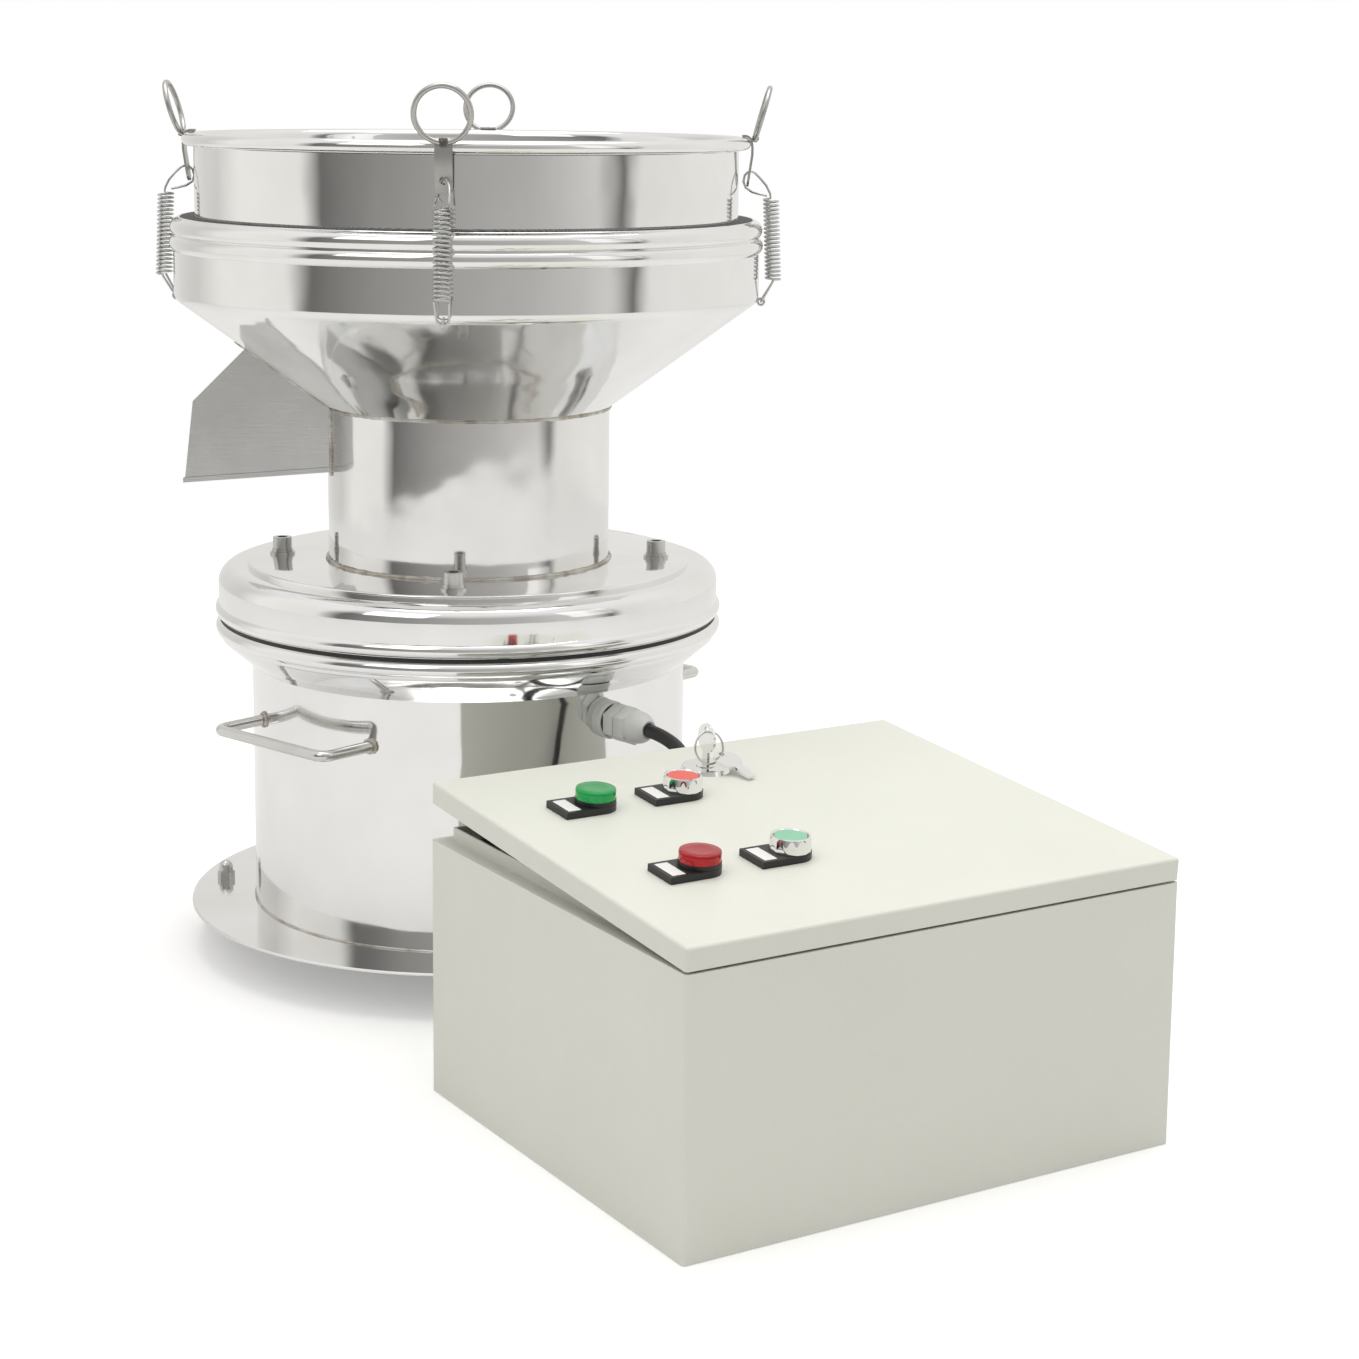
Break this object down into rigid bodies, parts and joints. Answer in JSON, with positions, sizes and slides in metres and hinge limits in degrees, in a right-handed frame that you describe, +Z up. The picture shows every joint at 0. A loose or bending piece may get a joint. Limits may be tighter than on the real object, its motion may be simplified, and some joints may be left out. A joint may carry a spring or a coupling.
{
  "type": "vibrating sieve",
  "caption": "Round direct-discharge vibrating sieve with sprung clamps, side spout and a separate control box joined by a cable.",
  "frame": {"origin": "centre of the whole footprint, on the floor, without the cable", "axes": "+Z up; the spout leaves the sieve toward -X; the control box stands toward +X and -Y"},
  "size_m": [0.7875, 0.9388, 0.7286],
  "materials": {
    "mirror_steel": "mirror-polished stainless sheet",
    "satin_steel": "satin stainless",
    "cast_motor": "painted cast iron",
    "plated_steel": "zinc-plated steel",
    "chrome_trim": "chrome plate",
    "black_rubber": "matt",
    "cable_black": "satin jacket",
    "gland_white": "moulded nylon",
    "box_paint": "light grey powder coat with orange peel",
    "black_plastic": "moulded",
    "white_plastic": "bare insert",
    "lens_green": "transparent green",
    "lens_red": "transparent red",
    "cap_red": "gloss",
    "cap_green": "gloss, pale",
    "mesh_steel": "woven wire cloth",
    "seal_grey": "matt"
  },
  "bodies": {
    "base": {"base_flange": "satin_steel", "barrel": "mirror_steel", "foot_pads": "black_rubber", "foot_nuts": "plated_steel", "handles": "satin_steel", "isolator_shelf": "satin_steel", "isolators": "black_rubber", "dust_seal": "seal_grey", "gland_bodies": "gland_white", "gland_seals": "seal_grey", "gland_caps": "gland_white", "gland_locknuts": "gland_white", "power_cable": "cable_black", "box_body": "box_paint", "box_mount_plate": "plated_steel", "contactor": "black_plastic", "hinge_pins": "plated_steel"},
    "lid": {"box_lid": "box_paint", "lid_gasket": "seal_grey", "hinge_leaves": "plated_steel", "lamp_bases": "black_plastic", "lamp_lens_green": "lens_green", "lamp_lens_red": "lens_red", "button_bezels": "chrome_trim", "contact_blocks": "black_plastic", "legend_plates": "black_plastic", "legend_inserts": "white_plastic", "lock_escutcheon": "chrome_trim"},
    "red_button": {"button_cap_red": "cap_red"},
    "green_button": {"button_cap_green": "cap_green"},
    "lock": {"lock_plug": "chrome_trim", "lock_cam": "plated_steel", "lock_key": "chrome_trim"},
    "keys": {"key_ring": "plated_steel", "spare_key": "chrome_trim"},
    "vibrating": {"dome_cap": "mirror_steel", "dome_plate": "mirror_steel", "dome_bolts": "plated_steel", "dome_washers": "plated_steel", "dome_nuts": "plated_steel", "motor_housing": "cast_motor", "motor_shields": "cast_motor", "neck": "mirror_steel", "inner_deck": "satin_steel", "discharge_spout": "satin_steel", "hopper_pan": "mirror_steel", "spring_anchors": "satin_steel", "screen_seal": "seal_grey", "screen_mesh": "mesh_steel", "sieve_frame": "mirror_steel"},
    "rotor": {"rotor_shaft": "satin_steel", "eccentric_weights": "cast_motor"},
    "clamp_link_right": {"clamp_spring_right": "satin_steel"},
    "clamp_right": {"clamp_hook_right": "satin_steel"},
    "clamp_link_back": {"clamp_spring_back": "satin_steel"},
    "clamp_back": {"clamp_hook_back": "satin_steel"},
    "clamp_link_left": {"clamp_spring_left": "satin_steel"},
    "clamp_left": {"clamp_hook_left": "satin_steel"},
    "clamp_link_front": {"clamp_spring_front": "satin_steel"},
    "clamp_front": {"clamp_hook_front": "satin_steel"}
  },
  "joints": [
    {"name": "vib_bounce", "type": "slide", "parent": "base", "child": "vibrating", "axis": [0, 0, 1], "range_m": [-0.0025, 0.0025], "stiffness_N_per_m": 400000, "springref_m": 0.0011, "deforming": ["isolators", "dust_seal"]},
    {"name": "rotor_spin", "type": "hinge", "parent": "vibrating", "child": "rotor", "pos_m": [-0.13196, 0.20765, 0.19], "axis": [0, 0, 1], "continuous": true},
    {"name": "lid_hinge", "type": "hinge", "parent": "base", "child": "lid", "pos_m": [0.05194, -0.46645, 0.197], "axis": [0.8508, 0.5255, 0], "range_deg": [-4.2, 100]},
    {"name": "red_button_press", "type": "slide", "parent": "lid", "child": "red_button", "axis": [-0.0385, 0.0623, -0.9973], "range_m": [0, 0.0035], "stiffness_N_per_m": 400, "springref_m": -0.002},
    {"name": "green_button_press", "type": "slide", "parent": "lid", "child": "green_button", "axis": [-0.0385, 0.0623, -0.9973], "range_m": [0, 0.0035], "stiffness_N_per_m": 400, "springref_m": -0.002},
    {"name": "lock_turn", "type": "hinge", "parent": "lid", "child": "lock", "pos_m": [0.06796, -0.11464, 0.22939], "axis": [0.0385, -0.0623, 0.9973], "range_deg": [-90, 0]},
    {"name": "key_ring_swing", "type": "hinge", "parent": "lock", "child": "keys", "pos_m": [0.06908, -0.11644, 0.25832], "axis": [0.8508, 0.5255, 0], "range_deg": [-80, 0]},
    {"name": "clamp_swing_right", "type": "hinge", "parent": "vibrating", "child": "clamp_link_right", "pos_m": [0.11304, 0.20765, 0.55014], "axis": [0, 1, 0], "range_deg": [0, 14]},
    {"name": "clamp_pull_right", "type": "slide", "parent": "clamp_link_right", "child": "clamp_right", "axis": [-0.0633, 0, 0.998], "range_m": [0, 0.015], "stiffness_N_per_m": 1500, "springref_m": -0.008, "deforming": ["clamp_spring_right"]},
    {"name": "clamp_swing_back", "type": "hinge", "parent": "vibrating", "child": "clamp_link_back", "pos_m": [-0.13196, 0.45264, 0.55014], "axis": [-1, 0, 0], "range_deg": [0, 14]},
    {"name": "clamp_pull_back", "type": "slide", "parent": "clamp_link_back", "child": "clamp_back", "axis": [0, -0.0633, 0.998], "range_m": [0, 0.015], "stiffness_N_per_m": 1500, "springref_m": -0.008, "deforming": ["clamp_spring_back"]},
    {"name": "clamp_swing_left", "type": "hinge", "parent": "vibrating", "child": "clamp_link_left", "pos_m": [-0.37695, 0.20765, 0.55014], "axis": [0, -1, 0], "range_deg": [0, 14]},
    {"name": "clamp_pull_left", "type": "slide", "parent": "clamp_link_left", "child": "clamp_left", "axis": [0.0633, 0, 0.998], "range_m": [0, 0.015], "stiffness_N_per_m": 1500, "springref_m": -0.008, "deforming": ["clamp_spring_left"]},
    {"name": "clamp_swing_front", "type": "hinge", "parent": "vibrating", "child": "clamp_link_front", "pos_m": [-0.13196, -0.03735, 0.55014], "axis": [1, 0, 0], "range_deg": [0, 14]},
    {"name": "clamp_pull_front", "type": "slide", "parent": "clamp_link_front", "child": "clamp_front", "axis": [0, 0.0633, 0.998], "range_m": [0, 0.015], "stiffness_N_per_m": 1500, "springref_m": -0.008, "deforming": ["clamp_spring_front"]}
  ],
  "couplings": [
    {"joint": "clamp_pull_right", "follows": "clamp_swing_right", "m_per_rad": 0.06},
    {"joint": "clamp_pull_back", "follows": "clamp_swing_back", "m_per_rad": 0.06},
    {"joint": "clamp_pull_left", "follows": "clamp_swing_left", "m_per_rad": 0.06},
    {"joint": "clamp_pull_front", "follows": "clamp_swing_front", "m_per_rad": 0.06}
  ]
}
